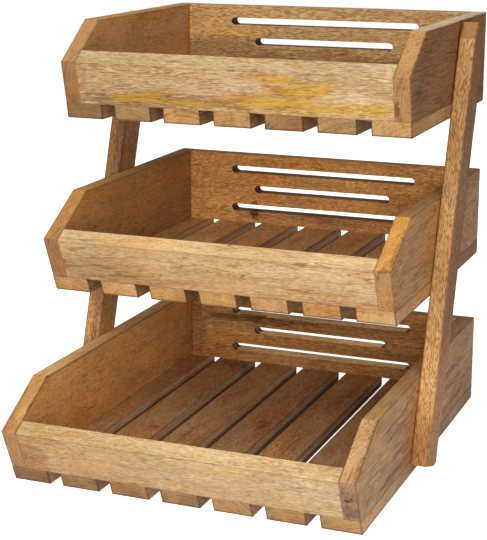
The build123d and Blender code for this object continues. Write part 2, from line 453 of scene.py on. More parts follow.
# Knots and stains of a slat: place across and along the tray, half sizes along and across the fibres, tint.
slat_knots = {
    "bottom_slat_2": (
        (-0.1070, -0.0510, 0.007, 0.005, (0.62, 0.52, 0.46)),
        (-0.1100, 0.2050, 0.014, 0.020, (0.58, 0.50, 0.46)),
    ),
    "bottom_slat_3": (
        (-0.0450, -0.1100, 0.080, 0.007, (0.74, 0.66, 0.58)),
    ),
    "bottom_slat_4": (
        (0.0060, 0.0040, 0.015, 0.009, (0.86, 0.62, 0.58)),
        (0.0100, 0.0700, 0.050, 0.016, (1.14, 1.00, 0.84)),
    ),
    "bottom_slat_5": (
        (0.0500, -0.0700, 0.060, 0.010, (1.16, 1.06, 0.84)),
        (0.0700, 0.1200, 0.060, 0.010, (0.84, 0.80, 0.80)),
    ),
}
draw = random.Random(11)
for tray in trays:
    front_end = front_faces(tray)[0]
    for number, end_shade in enumerate(end_shades[tray], 1):
        slat = f"{tray}_slat_{number}"
        low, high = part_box(slat)
        flanks = ((low, to_left), (high, to_right))
        from_pith = (draw.uniform(*along_log), draw.uniform(*beside_pith), draw.uniform(*above_pith))
        slope = (draw.uniform(*slat_slope), draw.uniform(*slat_slope))
        depth = draw.uniform(*slat_depth)
        slat_brown = tinted(screen(*slat_browns[tray]), depth, depth, depth)
        wood = timber(slat, grain_along_y, from_pith, slope, slat_brown, flush=slat_flush,
                      quiet=(front_end, back_face) + flanks, calm=1.8, rings=0.15, threads=0.46,
                      lines=0.6, mottles=0.3, length=0.7, clouds=1.1)
        if tray == "bottom":
            # Painted light: the bottom slats are lighter just behind the tray's open front, fading out 130 mm
            # back.
            in_front = beyond(wood, *front_end, *front_stretch)
            cover(wood, both(wood, in_front, beyond(wood, *front_end, *behind_end)), front_painted_light)
        if tray == "middle":
            # Painted shade: the top faces of the middle tray's slats are darkened.
            face_tint(wood, (high, up), middle_top_shade)
        end_tint = [part * end_shade ** power for part, power in zip(end_warmth[tray], deepening)]
        face_tint(wood, front_end, end_tint)
        for x, y, along, across, colour in slat_knots.get(slat, ()):
            stain(wood, (x, y, high.z), (along, across, through), colour, ragged=0.9, streaks=0.2)
        # Dark line along each slat's front end at its lower arris: partly edge wear, partly painted shade.
        near_top = beyond(wood, high, up, *top_arris)
        near_front = beyond(wood, *front_end, *end_arris)
        cover(wood, both(wood, near_front, beyond(wood, low, down, *low_end_arris)), edge_wear_and_shade, end_edge_share)
        for flank, outermost in zip(flanks, (number == 1, number == slat_count)):
            # Painted light and shade on the flanks: the inner flanks are paler and greyer, as light from the
            # white floor; the outermost ones are lighter in the bottom tray and darker above it.
            face_tint(wood, flank, outer_flank[tray] if outermost else flank_painted_light[tray])
            on_flank = on_face(wood, flank)
            if outermost:
                # Dark line along the outermost flank's lower arris: partly edge wear, partly painted shade.
                cover(wood, both(wood, on_flank, beyond(wood, low, down, *low_arris)), edge_wear_and_shade)
                # Painted shade on the outermost flank, well behind the upright's front face.
                behind = beyond(wood, *upright_front, *past_upright)
                cover(wood, both(wood, on_flank, behind), upright_cast_shade[tray])
            else:
                # Painted shade on the inner flanks under the front board, within about 50 mm of the slats'
                # front ends.
                under_front = beyond(wood, *front_end, *under_board)
                cover(wood, both(wood, on_flank, under_front), flank_painted_shade[tray])
                inside = beyond(wood, *front_end, *reversed(under_board))
                # Painted shade deep in each gap between the slats, on the inner flanks behind the front
                # board, darkest at the gap's floor.
                deep = beyond(wood, high, down, *gap_depth)
                cover(wood, both(wood, on_flank, inside, deep), gap_painted_shade[tray])
                deepest = beyond(wood, high, down, *gap_floor)
                cover(wood, both(wood, on_flank, inside, deepest), edge_wear_and_shade)
            # Dark lines along each flank's top arris and front arris, the edges of the gap: partly edge wear,
            # partly painted shade.
            cover(wood, both(wood, beyond(wood, *flank, *arris), near_top), edge_wear_and_shade, top_edge_share)
            near_flank = beyond(wood, *flank, *flank_end_arris)
            cover(wood, both(wood, near_flank, near_front), edge_wear_and_shade, end_edge_share)
        finish(slat, wood)


# Front boards: one low board across each tray between its sides, leaning outwards, of pale oiled hardwood.
# Its top edge is planed to the slant of the sides' shoulders, and it is tenoned into the sides.

def on_front(tray, x, z):
    """The point of a tray's leaning front plane at a place across it and a height."""
    foot, _, shoulder, _ = front_corners(tray)
    point = foot.lerp(shoulder, (z - foot.z) / (shoulder.z - foot.z))
    return Vector((x, point.y, z))


front_tans = {"bottom": (195, 158, 112), "middle": (196, 157, 109), "top": (180, 146, 103)}
front_flush = (1.02, 0.97, 0.88)
front_pith = {"bottom": (0.05, 0.03), "middle": (0.045, 0.012), "top": (0.04, 0.05)}
front_slope = {"bottom": (1.0, 2.0), "middle": (1.0, 3.5), "top": (1.5, 1.0)}
front_figure = {
    "bottom": {"rings": 0.1, "lines": 0.35, "hairs": 0.25, "glints": 0.15,
               "threads": 0.26, "flecks": 0.16, "curls": 0.05, "length": 0.65},
    "middle": {"rings": 0.12, "lines": 0.7, "hairs": 0.28, "glints": 0.168,
               "threads": 0.18, "flecks": 0.20, "curls": 0.05, "length": 0.75},
    "top": {"rings": 0.1, "lines": 0.35, "hairs": 0.42, "glints": 0.252,
            "threads": 0.3, "flecks": 0.38, "curls": 0.0, "length": 1.0},
}
gold = screen(214, 160, 42)[:3]
amber = screen(176, 124, 62)[:3]
lemon = screen(212, 160, 50)[:3]
lemon_share = 0.45
tawny = (0.98, 0.82, 0.48)
pale_gold = (1.12, 1.08, 0.62)
pale = (1.12, 1.16, 1.26)
dull_brown = (0.82, 0.74, 0.64)
russet = (1.00, 0.84, 0.70)
crack = (0.66, 0.50, 0.40)
shadow = (0.72, 0.66, 0.60)
front_bevel = (1.0, 1.06, 1.04)
bevel_line = (-0.0024, -0.0014)
bevel_lip = (-0.0006, -0.0012)
bevel_shade_share = 0.6
low_line = (-0.0013, -0.0003)
front_low_dirt = (0.65, 0.58, 0.52)
board_end_line = (-0.0011, -0.0003)
board_end_dirt = (0.6, 0.55, 0.5)
# Stains of each board: place across it, height, half sizes along and across the fibres, tint and share.
front_stains = {
    "bottom": (
        (-0.1780, 0.0625, 0.012, 0.0020, tawny, 0.8),
        (0.0000, 0.0595, 0.160, 0.0030, (1.07, 1.08, 1.04), 0.7),
        (0.0555, 0.0540, 0.024, 0.0026, pale_gold, 0.8),
        (-0.1300, 0.0490, 0.016, 0.0035, pale_gold, 0.7),
        (-0.0900, 0.0290, 0.080, 0.0130, (0.86, 0.79, 0.73), 0.9),
        (-0.1550, 0.0590, 0.030, 0.0060, (0.90, 0.78, 0.64), 0.9),
        (0.0200, 0.0570, 0.060, 0.0050, (1.08, 1.10, 1.10), 0.8),
        (0.1480, 0.0430, 0.042, 0.0220, (1.11, 1.16, 1.24), 0.9),
        (-0.1500, 0.0690, 0.045, 0.0060, (0.88, 0.78, 0.60), 0.9),
        (0.0400, 0.0700, 0.110, 0.0040, (1.08, 1.10, 1.12), 0.8),
    ),
    "middle": (
        (-0.1350, 0.2230, 0.060, 0.0150, dull_brown, 0.9),
        (-0.1100, 0.2475, 0.050, 0.0045, (1.08, 1.08, 1.05), 0.8),
        (-0.1350, 0.2262, 0.018, 0.0016, crack, 0.9),
        (-0.1310, 0.2240, 0.012, 0.0011, crack, 0.9),
        (-0.1800, 0.2270, 0.008, 0.0140, russet, 0.9),
        (0.0300, 0.2420, 0.080, 0.0100, (1.18, 1.28, 1.32), 0.9),
        (0.1150, 0.2350, 0.070, 0.0150, (1.13, 1.20, 1.27), 0.9),
        (0.0950, 0.2140, 0.060, 0.0060, (1.16, 1.24, 1.30), 0.9),
        (0.1200, 0.2195, 0.040, 0.0022, (0.92, 0.76, 0.62), 0.8),
        (-0.0850, 0.2125, 0.085, 0.0060, (0.86, 0.78, 0.70), 0.9),
        (0.1720, 0.2250, 0.012, 0.0060, pale, 0.8),
        (-0.1000, 0.2580, 0.055, 0.0024, (1.02, 0.92, 0.72), 0.9),
        (-0.1000, 0.2630, 0.070, 0.0018, (1.08, 1.12, 1.18), 0.8),
        (-0.0100, 0.2560, 0.040, 0.0016, (1.12, 1.16, 1.24), 0.9),
        (0.0300, 0.2610, 0.030, 0.0030, (0.94, 0.88, 0.78), 0.9),
        (0.1200, 0.2580, 0.060, 0.0030, (1.08, 1.10, 1.12), 0.8),
        (0.1730, 0.2127, 0.012, 0.0014, (0.75, 0.50, 0.40), 0.9),
    ),
    "top": (
        (0.1300, 0.4370, 0.040, 0.0040, dull_brown, 0.5),
        (-0.0950, 0.4040, 0.110, 0.0085, (0.66, 0.57, 0.48), 0.9),
        (-0.1650, 0.4140, 0.020, 0.0090, (0.88, 0.82, 0.78), 0.8),
        (-0.0650, 0.4280, 0.030, 0.0060, (1.10, 1.16, 1.24), 0.8),
        (-0.1780, 0.4200, 0.008, 0.0260, russet, 0.9),
        (0.1450, 0.4180, 0.040, 0.0080, pale, 1.0),
        (0.1450, 0.4400, 0.040, 0.0040, pale, 0.8),
        (0.1230, 0.4065, 0.062, 0.0080, pale_gold, 0.8),
        (-0.0780, 0.4150, 0.020, 0.0050, dull_brown, 0.8),
        (0.0050, 0.4110, 0.024, 0.0075, tawny, 0.9),
        (0.0560, 0.4240, 0.010, 0.0070, dull_brown, 0.9),
    ),
}
front_shadows = {"bottom": ((-0.1720, 0.0300, 0.026, 0.0240, (0.78, 0.66, 0.56)),)}
# Yellow sapwood flames of the top board, with the slant of each, and the paler lights in them.
flames = (
    (-0.0950, 0.4085, 0.034, 0.0055, amber, 0.7, 0.00),
    (-0.1080, 0.4075, 0.026, 0.0050, gold, 1.0, 0.03),
    (-0.1300, 0.4050, 0.018, 0.0030, gold, 0.9, 0.05),
    (-0.0560, 0.4045, 0.042, 0.0040, gold, 0.9, -0.05),
    (0.0100, 0.4090, 0.028, 0.0070, amber, 0.6, 0.03),
    (0.0580, 0.4110, 0.050, 0.0085, gold, 0.9, 0.07),
    (0.0800, 0.4250, 0.038, 0.0075, gold, 1.0, 0.09),
    (0.0900, 0.4055, 0.056, 0.0055, gold, 0.6, 0.02),
    (0.0500, 0.4250, 0.014, 0.0060, amber, 0.8, -0.15),
    (0.0450, 0.4360, 0.036, 0.0055, amber, 0.7, -0.04),
    (0.0560, 0.4350, 0.026, 0.0045, gold, 0.9, -0.05),
    (0.1350, 0.4070, 0.050, 0.0060, gold, 0.4, -0.03),
    (0.1720, 0.4100, 0.018, 0.0070, gold, 0.5, -0.06),
)
flame_lights = (
    (-0.1080, 0.4080, 0.026, 0.0050, 0.03),
    (-0.0560, 0.4045, 0.036, 0.0030, -0.05),
    (0.0560, 0.4350, 0.022, 0.0035, -0.05),
    (0.0820, 0.4255, 0.034, 0.0055, 0.09),
    (0.0600, 0.4115, 0.044, 0.0050, 0.07),
)
for tray in trays:
    board = f"{tray}_front_board"
    from_pith = (draw.uniform(*along_log),) + front_pith[tray]
    wood = timber(board, grain_along_x, from_pith, front_slope[tray], screen(*front_tans[tray]),
                  flush=front_flush, ring_width=0.006, **front_figure[tray])
    for x, z, along, across, colour, share in front_stains[tray]:
        stain(wood, on_front(tray, x, z), (along, through, across), colour, share, streaks=0.25)
    if tray == "top":
        for x, z, along, across, colour, share, slant in flames:
            stain(wood, on_front(tray, x, z), (along, through, across), colour, share,
                  ragged=1.5, streaks=0.3, slant=slant, way="COLOR")
        for x, z, along, across, slant in flame_lights:
            stain(wood, on_front(tray, x, z), (along, through, across), lemon, lemon_share,
                  ragged=1.8, streaks=0.9, slant=slant, way="MIX")
    for x, z, along, across, colour in front_shadows.get(tray, ()):
        stain(wood, on_front(tray, x, z), (along, through, across), colour, ragged=0.6, streaks=0.1)
    bevel = front_faces(tray)[1]
    face_tint(wood, bevel, front_bevel)
    # Painted shade: a dark line on the front face just below the shoulder's arris.
    below_bevel = both(wood, beyond(wood, *bevel, *bevel_line), beyond(wood, *bevel, *bevel_lip))
    cover(wood, below_bevel, shadow, bevel_shade_share)
    low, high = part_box(board)
    cover(wood, beyond(wood, low, down, *low_line), front_low_dirt)
    for end in ((low, to_left), (high, to_right)):
        cover(wood, beyond(wood, *end, *board_end_line), board_end_dirt)
    finish(board, wood)


# Back boards: an upright board of darker wood across the back of each tray, tenoned into the sides.
# Three slots are routed through it, long, short and long. Their walls carry painted light and shade,
# pale in the bottom board and darker in the others, and painted shade darkens the slots' ends and their
# mouths.

long_slot = 0.244
short_slot = 0.180
slot_height = 0.0086
slot_pitch = 0.025
wall_skin = (0.0006, 0.0002)
slot_end_run = (0.0075, 0.0045)


def slot_walls(material, middle, length):
    """Masks of a routed slot's walls and of its two ends, given by its middle's height and its length."""
    tree = material.node_tree
    place = put(tree, "SeparateXYZ", {0: tree.nodes["on the stand"].outputs["Object"]}).outputs
    across = calc(tree, "ABSOLUTE", place["X"])
    past_straight = calc(tree, "MAXIMUM", calc(tree, "SUBTRACT", across, (length - slot_height) / 2), 0.0)
    rise = calc(tree, "SUBTRACT", place["Z"], middle)
    off = reach_of(tree, put(tree, "CombineXYZ", {0: past_straight, 1: rise}).outputs[0])
    walls = ramp(tree, off, *[slot_height / 2 + skin for skin in wall_skin])
    ends = ramp(tree, across, *[length / 2 - run for run in slot_end_run])
    return walls, both(material, walls, ends)


back_browns = {"bottom": (194, 141, 80), "middle": (219, 160, 90), "top": (174, 136, 86)}
back_pith = (0.05, 0.03)
back_slope = (1.5, 2.0)
back_lengths = {"bottom": 0.8, "middle": 0.55, "top": 0.9}
back_flecks = {"bottom": 0.2, "middle": 0.2, "top": 0.5}
slot_wall_light_shade = {"bottom": (1.80, 2.80, 4.60), "middle": (0.62, 0.62, 0.68), "top": (0.75, 0.80, 0.90)}
slot_end_shade = (0.30, 0.22, 0.16)
slot_mouth_shade = (0.18, 0.14, 0.12)
front_mouth = (-0.004, -0.002)
back_mouth = (-0.007, -0.004)
back_end_dirt = (0.48, 0.40, 0.34)
honey = (1.14, 1.08, 0.90)
soot = (0.32, 0.28, 0.27)
# Stains and knots of each board: the columns are those of the front boards' stains.
back_stains = {
    "bottom": (
        (-0.0950, 0.0450, 0.050, 0.0130, (1.24, 1.14, 0.90), 1.0),
        (-0.1740, 0.0600, 0.012, 0.0450, shadow, 0.9),
        (-0.1600, 0.0230, 0.026, 0.0060, (1.05, 0.84, 0.68), 0.9),
        (0.0900, 0.0620, 0.080, 0.0160, (1.22, 1.24, 1.24), 0.9),
        (0.0700, 0.0250, 0.060, 0.0060, (1.16, 1.10, 1.00), 0.9),
        (0.0200, 0.0620, 0.150, 0.0100, (1.14, 1.15, 1.17), 0.9),
        (0.1140, 0.0620, 0.024, 0.0100, (1.22, 1.28, 1.36), 0.9),
        (-0.1140, 0.0620, 0.026, 0.0100, (1.12, 1.20, 1.30), 0.9),
        (0.0800, 0.0330, 0.050, 0.0080, (1.14, 1.16, 1.20), 0.8),
        (-0.0600, 0.0930, 0.036, 0.0100, (0.86, 0.78, 0.68), 0.9),
        (-0.1150, 0.0765, 0.046, 0.0060, (0.34, 0.33, 0.36), 0.9),
        (-0.0500, 0.0765, 0.050, 0.0055, (0.45, 0.43, 0.42), 0.9),
    ),
    "middle": (
        (-0.1480, 0.2500, 0.040, 0.0500, (1.05, 1.00, 0.92), 0.8),
        (-0.0680, 0.2860, 0.032, 0.0070, (0.76, 0.70, 0.50), 1.0),
        (-0.0700, 0.2760, 0.026, 0.0030, honey, 0.8),
        (0.1000, 0.2760, 0.090, 0.0180, (1.26, 1.30, 1.30), 1.0),
        (0.1620, 0.2840, 0.026, 0.0120, (1.26, 1.30, 1.34), 0.9),
        (-0.0200, 0.2200, 0.095, 0.0120, (0.62, 0.66, 0.80), 1.0),
        (-0.0350, 0.2400, 0.060, 0.0070, (0.80, 0.84, 0.92), 0.9),
        (-0.0200, 0.2640, 0.034, 0.0060, (0.70, 0.76, 0.86), 0.9),
        (-0.0730, 0.2370, 0.024, 0.0070, (1.10, 0.82, 0.62), 0.9),
        (-0.0100, 0.2180, 0.030, 0.0040, shadow, 0.9),
    ),
    "top": (
        (-0.1300, 0.4680, 0.070, 0.0220, (1.12, 1.06, 0.92), 0.9),
        (-0.1200, 0.4520, 0.060, 0.0035, honey, 0.9),
        (-0.0200, 0.4740, 0.080, 0.0110, (1.14, 1.20, 1.26), 0.9),
        (0.1000, 0.4710, 0.080, 0.0100, (1.12, 1.16, 1.20), 0.9),
        (0.1650, 0.4720, 0.020, 0.0120, (1.16, 1.26, 1.44), 0.9),
    ),
}
back_knots = {
    "middle": (
        (-0.0915, 0.2325, 0.0055, 0.0036, soot),
        (-0.0915, 0.2205, 0.0060, 0.0040, soot),
        (-0.0910, 0.2160, 0.0040, 0.0040, (0.52, 0.40, 0.32)),
    ),
    "top": (
        (-0.1500, 0.4240, 0.095, 0.0230, (0.66, 0.62, 0.60)),
        (-0.0100, 0.4150, 0.100, 0.0200, shadow),
        (0.1000, 0.4080, 0.070, 0.0200, (0.70, 0.64, 0.58)),
        (-0.1800, 0.4450, 0.0050, 0.0700, (1.28, 1.14, 0.88)),
    ),
}
for tray in trays:
    board = f"{tray}_back_board"
    from_pith = (draw.uniform(*along_log),) + back_pith
    wood = timber(board, grain_along_x, from_pith, back_slope, screen(*back_browns[tray]),
                  flecks=back_flecks[tray], threads=0.45, hairs=0.35, length=back_lengths[tray])
    low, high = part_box(board)
    for x, z, along, across, colour, share in back_stains[tray]:
        stain(wood, (x, low.y, z), (along, through, across), colour, share)
    for x, z, along, across, colour in back_knots.get(tray, ()):
        stain(wood, (x, low.y, z), (along, through, across), colour, ragged=0.9, streaks=0.1)
    for end in ((low, to_left), (high, to_right)):
        cover(wood, beyond(wood, *end, *arris), back_end_dirt)
    for pitch, length in ((-slot_pitch, long_slot), (0.0, short_slot), (slot_pitch, long_slot)):
        walls, shaded_ends = slot_walls(wood, (low.z + high.z) / 2 + pitch, length)
        # Painted light and shade in each slot: its walls tinted, its ends and their mouths darkened.
        cover(wood, walls, slot_wall_light_shade[tray])
        cover(wood, shaded_ends, slot_end_shade)
        for mouth in ((low, to_front, *front_mouth), (*back_face, *back_mouth)):
            cover(wood, both(wood, shaded_ends, beyond(wood, *mouth)), slot_mouth_shade)
    finish(board, wood)


# Sides: a panel of brown hardwood at each end of a tray, low at the front, with a slanted shoulder and
# a level top. Its front end and shoulder are sawn across the grain. The front and back boards are tenoned
# into its inner face.

# For each side: its wood as a screen shows it, and the tints of its sawn end, its shoulder and its rim.
# The rims' pale grey tints are partly the planed wood's own colour and partly painted sheen.
side_colours = {
    "bottom_left_side": ((205, 147, 82), (0.70, 0.77, 0.97), (0.75, 0.78, 0.77), (1.16, 1.35, 1.80)),
    "middle_left_side": ((170, 120, 66), (0.90, 0.88, 1.00), (1.00, 1.05, 1.05), (1.20, 1.38, 1.60)),
    "top_left_side": ((180, 130, 78), (0.68, 0.62, 0.58), (0.88, 0.90, 0.91), (1.20, 1.35, 1.50)),
    "bottom_right_side": ((174, 131, 84), (0.78, 0.86, 1.12), (0.98, 1.06, 1.14), (1.05, 1.10, 1.15)),
    "middle_right_side": ((168, 122, 71), (1.10, 1.18, 1.32), (1.33, 1.26, 0.70), (1.05, 1.10, 1.15)),
    "top_right_side": ((132, 89, 50), (1.60, 1.86, 1.78), (1.80, 2.08, 1.84), (2.85, 4.80, 9.20)),
}
side_pith = (0.05, 0.02)
side_slope = (0.6, 1.5)
side_figure = {
    "left": {"hairs": 0.3, "glints": 0.2, "threads": 0.2, "pores": 0.2, "mottles": 0.3, "length": 0.6},
    "right": {"hairs": 0.4, "glints": 0.3, "threads": 0.3, "lines": 0.5, "length": 2.2},
}
upright_gap_shade = {"bottom": (0.74, 0.66, 0.60), "middle": (0.74, 0.66, 0.60), "top": (0.14, 0.10, 0.08)}
before_upright = (0.0018, 0.0008)
behind_its_front = (-0.004, -0.003)
outline = {"left": 1.0, "right": 0.5}
inner_arris_shade = {"bottom": 0.7, "middle": 0.5, "top": 0.25}
inner_arris = (-0.0020, -0.0010)
inner_line = (-0.0026, -0.0014)
side_low_dirt = (0.62, 0.56, 0.52)
end_depth = 0.005
ochre = (1.14, 1.03, 0.78)
slate = (0.54, 0.55, 0.62)
# Stains of each side: place from front to back, height, half sizes along and across the fibres, tint, share.
side_stains = {
    "bottom_left_side": (
        (-0.0900, 0.0450, 0.055, 0.0140, (1.12, 0.98, 0.85), 0.8),
        (-0.0610, 0.0560, 0.007, 0.0011, crack, 0.9),
        (0.1700, 0.0600, 0.060, 0.0800, (0.86, 0.82, 0.75), 0.8),
        (0.2200, 0.0500, 0.020, 0.0400, (0.88, 0.82, 0.62), 0.9),
    ),
    "middle_left_side": (
        (0.1700, 0.2500, 0.060, 0.0800, (0.86, 0.82, 0.75), 0.8),
        (0.2150, 0.2300, 0.024, 0.0300, (0.80, 0.74, 0.52), 0.9),
        (-0.0600, 0.2600, 0.050, 0.0600, (1.10, 1.08, 1.00), 0.7),
    ),
    "top_left_side": (
        (0.2215, 0.4400, 0.010, 0.0600, (0.78, 0.68, 0.50), 0.9),
        (0.0610, 0.4690, 0.004, 0.0060, shadow, 0.8),
    ),
    "bottom_right_side": (
        (-0.2000, 0.0610, 0.036, 0.0012, slate, 0.9),
        (-0.1900, 0.0500, 0.042, 0.0012, slate, 0.9),
        (-0.1200, 0.0265, 0.075, 0.0042, slate, 0.9),
        (-0.0300, 0.0600, 0.024, 0.0500, (1.12, 0.94, 0.74), 0.9),
        (0.1500, 0.0300, 0.090, 0.0045, slate, 0.9),
        (0.1300, 0.0700, 0.070, 0.0045, slate, 0.9),
        (0.1100, 0.0530, 0.090, 0.0030, slate, 1.0),
        (-0.1200, 0.0830, 0.060, 0.0018, slate, 1.0),
        (-0.1000, 0.0720, 0.060, 0.0020, slate, 1.0),
        (-0.0800, 0.0450, 0.050, 0.0026, slate, 1.0),
        (-0.2320, 0.0480, 0.008, 0.0070, shadow, 0.9),
        (-0.1850, 0.0360, 0.050, 0.0200, (0.86, 0.97, 1.18), 0.9),
        (0.1800, 0.0900, 0.050, 0.0120, (0.80, 0.78, 0.75), 0.9),
        (0.0900, 0.0500, 0.030, 0.0200, (1.18, 1.18, 1.12), 0.9),
    ),
    "middle_right_side": (
        (0.0180, 0.2600, 0.032, 0.0400, ochre, 0.9),
        (-0.0200, 0.2510, 0.050, 0.0022, ochre, 0.9),
        (0.0000, 0.2300, 0.060, 0.0026, shadow, 0.8),
    ),
    "top_right_side": (
        (0.0950, 0.4350, 0.020, 0.0420, (1.00, 0.74, 0.56), 0.9),
    ),
}
# Knots in the sawn ends: place across, height, half sizes across and up, tint.
end_stains = {
    "bottom_right_side": (
        (0.1885, 0.0415, 0.0045, 0.0018, (0.36, 0.28, 0.26)),
        (0.1935, 0.0440, 0.0016, 0.0018, (0.36, 0.28, 0.26)),
        (0.1900, 0.0280, 0.0120, 0.0120, (0.66, 0.66, 0.70)),
    ),
    "middle_right_side": ((0.1925, 0.2545, 0.0080, 0.0030, (0.62, 0.52, 0.46)),),
    "top_right_side": ((0.1835, 0.4090, 0.0045, 0.0095, (0.52, 0.45, 0.48)),),
}
# Marks on the sawn shoulders: place across, share of the way up, half sizes across and along, tint.
bevel_stains = {
    "bottom_right_side": (
        (0.1995, 0.25, 0.0050, 0.022, (0.74, 0.62, 0.54)),
        (0.2000, 0.75, 0.0035, 0.030, (0.70, 0.58, 0.50)),
        (0.1860, 0.60, 0.0050, 0.040, (1.12, 1.06, 0.90)),
        (0.1910, 0.12, 0.0016, 0.010, (0.66, 0.54, 0.46)),
    ),
    "bottom_left_side": (
        (-0.1830, 0.45, 0.0016, 0.008, (0.55, 0.45, 0.38)),
        (-0.1870, 0.35, 0.0045, 0.016, (1.26, 1.32, 1.42)),
        (-0.1850, 0.80, 0.0040, 0.020, (1.10, 1.06, 0.96)),
        (-0.1980, 0.40, 0.0030, 0.040, (0.78, 0.70, 0.62)),
    ),
    "middle_right_side": (
        (0.1975, 0.40, 0.0030, 0.030, (0.78, 0.66, 0.56)),
        (0.1860, 0.85, 0.0040, 0.020, (1.10, 1.06, 0.96)),
    ),
}
for side, (side_brown, end_tint, bevel_tint, rim_tint) in side_colours.items():
    tray, hand = side.split("_")[:2]
    front_end, bevel = front_faces(tray)
    shoulder, shoulder_end = front_corners(tray)[2:]
    low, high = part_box(side)
    leftmost = (low, to_left)
    rightmost = (high, to_right)
    inner, outer = (leftmost, rightmost) if hand == "right" else (rightmost, leftmost)
    rim = (high, up)
    from_pith = (draw.uniform(*along_log),) + side_pith
    wood = timber(side, grain_along_y, from_pith, side_slope, screen(*side_brown),
                  quiet=(front_end, bevel, back_face, rim), **side_figure[hand])
    for y, z, along, across, colour, share in side_stains[side]:
        stain(wood, (inner[0].x, y, z), (along, through, across), colour, share)
    face_tint(wood, front_end, end_tint)
    face_tint(wood, bevel, bevel_tint, front_end)
    # The rim's tint is partly the planed wood's own colour and partly painted sheen.
    face_tint(wood, rim, rim_tint, bevel)
    for x, z, across, tall, colour in end_stains.get(side, ()):
        stain(wood, on_front(tray, x, z), (end_depth, across, tall), colour, ragged=1.0, streaks=0.0)
    on_bevel = on_face(wood, bevel)
    for x, part, across, along, colour in bevel_stains.get(side, ()):
        spot = shoulder.lerp(shoulder_end, part) + Vector((x, 0.0, 0.0))
        stain(wood, spot, (along, across, along), colour, ragged=1.0, streaks=0.2, within=on_bevel)
    cover(wood, beyond(wood, low, down, *low_line), side_low_dirt)
    # Painted shade: a dark line on the outer face just in front of the upright's front, darkest on the top
    # tray.
    gap_shade_mask = both(wood, beyond(wood, *upright_front, *before_upright),
                       beyond(wood, *upright_front, *behind_its_front), on_face(wood, outer))
    cover(wood, gap_shade_mask, upright_gap_shade[tray])
    # Dark lines along the outer arrises of the end, shoulder and rim: partly edge wear, partly painted shade.
    near_outer = beyond(wood, *outer, *arris)
    for face in (front_end, bevel, rim):
        cover(wood, both(wood, near_outer, beyond(wood, *face, *arris)), edge_wear_and_shade, outline[hand])
    if hand == "left":
        # Painted shade: dark lines where the left side's inner face meets its shoulder and rim.
        near_inner = beyond(wood, *inner, *inner_arris)
        for face in (bevel, rim):
            near_face = beyond(wood, *face, *inner_line)
            cover(wood, both(wood, near_inner, near_face), edge_wear_and_shade, inner_arris_shade[tray])
    finish(side, wood)


# Corner tenons: four flat tongues of pale hardwood in each tray, two at the front board and two at the back.
# They are made loose, and glued into the ends of the boards and into the sides, where nothing shows.

hidden_tan = screen(205, 165, 115)
hidden_pith = (0.05, 0.05)
hidden_slope = (0.0, 0.0)
for tray in trays:
    tenons = f"{tray}_corner_tenons"
    from_pith = (draw.uniform(*along_log),) + hidden_pith
    finish(tenons, timber(tenons, grain_along_x, from_pith, hidden_slope, hidden_tan))


# Slat screws: a countersunk cross-head screw at each end of every slat, of yellow zinc-plated steel.
# Each is driven from below, through the slat into the front or back board, until its head is level
# with the wood.

screw_radius = 0.0035
screw_proud = 0.0002
head_depth = 0.001
head_corners = 32
head_ease = 0.00015
cross_radius = 0.0019
cross_width = 0.0009
cross_depth = 0.00018
edge_inset = 0.0055
straight_down = -0.999


def pick(piece, test):
    """Selects the faces of a piece in edit mode whose middle and normal pass a test."""
    shape = bmesh.from_edit_mesh(piece.data)
    for face in shape.faces:
        face.select_set(test(face.calc_center_median(), face.normal))
    shape.select_flush_mode()
    bmesh.update_edit_mesh(piece.data)


def faces_down(middle, normal):
    """Whether a face of the screw's head looks straight down."""
    return normal.z < straight_down


def in_cross_circle(middle, normal):
    """Whether a face looks straight down and lies within reach of the driver's cross."""
    return faces_down(middle, normal) and middle.to_2d().length < cross_radius


def in_cross(middle, normal):
    """Whether a face belongs to one of the two arms of the driver's cross."""
    return in_cross_circle(middle, normal) and min(abs(middle.x), abs(middle.y)) < cross_width / 4


bpy.ops.object.select_all(action="DESELECT")
bpy.ops.mesh.primitive_cylinder_add(vertices=head_corners, radius=screw_radius, depth=head_depth)
screw = bpy.context.object
bpy.ops.object.mode_set(mode="EDIT")
bpy.ops.mesh.select_mode(type="FACE")
pick(screw, faces_down)
bpy.ops.mesh.bevel(offset=head_ease, segments=2, affect="EDGES")
pick(screw, faces_down)
bpy.ops.mesh.inset(thickness=screw_radius - head_ease - cross_radius)
for way in (to_right, to_back):
    for half in (-0.5, 0.5):
        pick(screw, in_cross_circle)
        bpy.ops.mesh.bisect(plane_co=way * half * cross_width, plane_no=way, threshold=1e-7)
pick(screw, in_cross)
bpy.ops.mesh.extrude_region_move(TRANSFORM_OT_translate={"value": (0.0, 0.0, cross_depth)})
bpy.ops.mesh.select_all(action="SELECT")
bpy.ops.mesh.normals_make_consistent(inside=False)
bpy.ops.object.mode_set(mode="OBJECT")

zinc_light = screen(205, 190, 150)
zinc_dark = screen(150, 132, 88)
zinc_bloom = (900.0, 900.0, 900.0)
zinc_scratches = (300.0, 4000.0, 300.0)
zinc_roughness = 0.2
scratch_roughness = 0.35
zinc = bpy.data.materials.new("yellow_zinc")
zinc.use_nodes = True
tree = zinc.node_tree
place = put(tree, "TexCoord", {}).outputs["Object"]
bloom = noise(tree, place, zinc_bloom, 3.0).outputs[0]
scratches = noise(tree, place, zinc_scratches, 2.0).outputs[0]
rough = calc(tree, "MULTIPLY_ADD", scratches, scratch_roughness, zinc_roughness)
shader = tree.nodes["Principled BSDF"]
tree.links.new(mix(tree, bloom, zinc_light, zinc_dark), shader.inputs["Base Color"])
tree.links.new(rough, shader.inputs["Roughness"])
shader.inputs["Metallic"].default_value = 1.0

